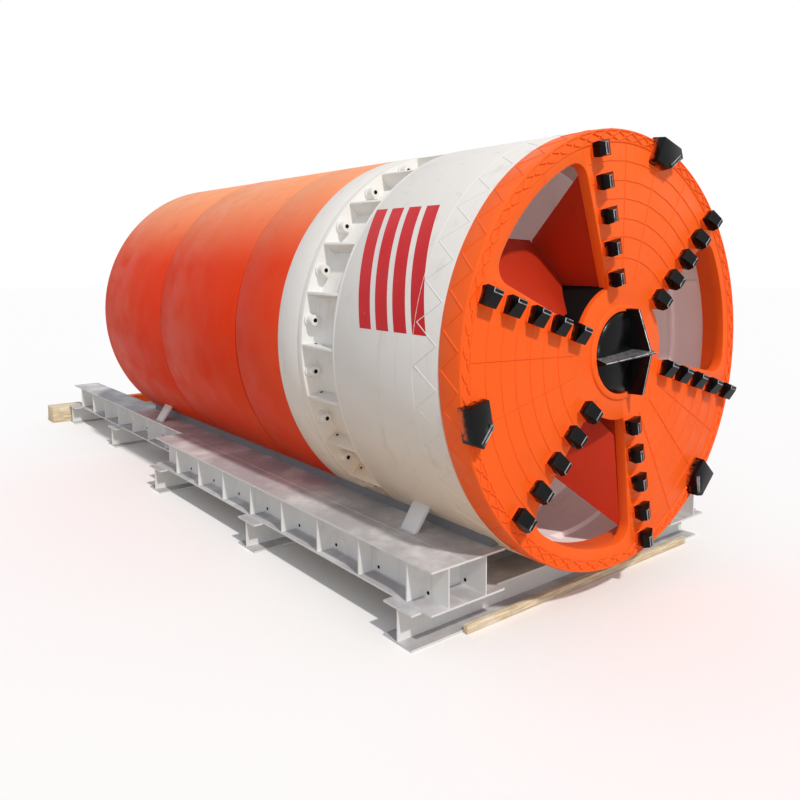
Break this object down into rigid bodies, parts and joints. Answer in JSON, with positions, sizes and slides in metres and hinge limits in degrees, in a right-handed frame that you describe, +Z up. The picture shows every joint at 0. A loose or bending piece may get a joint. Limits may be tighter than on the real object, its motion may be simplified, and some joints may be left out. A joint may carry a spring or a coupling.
{
  "type": "tunnel boring machine on a launch cradle",
  "caption": "Shielded tunnel boring machine with a turning cutterhead, thrust jacks, segment erector and screw conveyor, lying on a launch cradle of H-beams.",
  "frame": {"origin": "on the ground, under the middle of the bounding box", "axes": "+Z up, +Y from the cutting face to the tail, +X to the right seen from the front"},
  "size_m": [3.38, 9.6504, 3.4652],
  "materials": {
    "orange_enamel": "gloss enamel over steel, chalked and scuffed",
    "cream_enamel": "satin off-white enamel over steel",
    "grey_steel": "grey primer on rolled beams, dusty",
    "carbide_black": "glossy black paint on cutting tools, worn to metal at the edges",
    "dark_seal": "matt rubber",
    "chromed_rod": "hard chrome",
    "pale_timber": "rough sawn"
  },
  "bodies": {
    "root": {"front_shield": "cream_enamel", "pocket_ring": "cream_enamel", "coupling_ring": "cream_enamel", "mid_shield": "orange_enamel", "seal_ring": "dark_seal", "tail_front": "orange_enamel", "tail_rear": "orange_enamel", "bulkhead": "cream_enamel", "main_drive": "grey_steel", "screw_conveyor": "grey_steel", "thrust_ring": "cream_enamel", "erector_frame": "cream_enamel", "inner_beam_left": "grey_steel", "inner_beam_right": "grey_steel", "outer_beam_left": "grey_steel", "outer_beam_right": "grey_steel", "bearing_bar_left": "grey_steel", "bearing_bar_right": "grey_steel", "rear_tie": "orange_enamel", "cross_beam_1": "grey_steel", "cross_beam_2": "grey_steel", "cross_beam_3": "grey_steel", "cross_beam_4": "grey_steel", "cross_beam_5": "grey_steel", "chock_front_left": "grey_steel", "chock_front_right": "grey_steel", "chock_rear_left": "grey_steel", "chock_rear_right": "grey_steel", "timber_left": "pale_timber", "timber_right": "pale_timber"},
    "cutterhead": {"head_rim": "orange_enamel", "head_sector_1": "orange_enamel", "head_sector_2": "orange_enamel", "head_sector_3": "orange_enamel", "head_hub": "orange_enamel", "head_drum": "orange_enamel", "centre_bit": "carbide_black"},
    "thrust_jacks": {"thrust_jack_1": "chromed_rod", "thrust_jack_2": "chromed_rod", "thrust_jack_3": "chromed_rod", "thrust_jack_4": "chromed_rod", "thrust_jack_5": "chromed_rod", "thrust_jack_6": "chromed_rod"},
    "erector": {"erector_ring": "orange_enamel"},
    "gate": {"discharge_gate": "orange_enamel"}
  },
  "joints": [
    {"name": "cutterhead_spin", "type": "hinge", "parent": "root", "child": "cutterhead", "pos_m": [0, -4.57515, 1.86], "axis": [0, 1, 0], "continuous": true},
    {"name": "thrust_jack_slide", "type": "slide", "parent": "root", "child": "thrust_jacks", "axis": [0, 1, 0], "range_m": [0, 1]},
    {"name": "erector_turn", "type": "hinge", "parent": "root", "child": "erector", "pos_m": [0, 0.37485, 1.86], "axis": [0, 1, 0], "range_deg": [-200, 200]},
    {"name": "discharge_gate_slide", "type": "slide", "parent": "root", "child": "gate", "axis": [1, 0, 0], "range_m": [0, 0.4]}
  ]
}
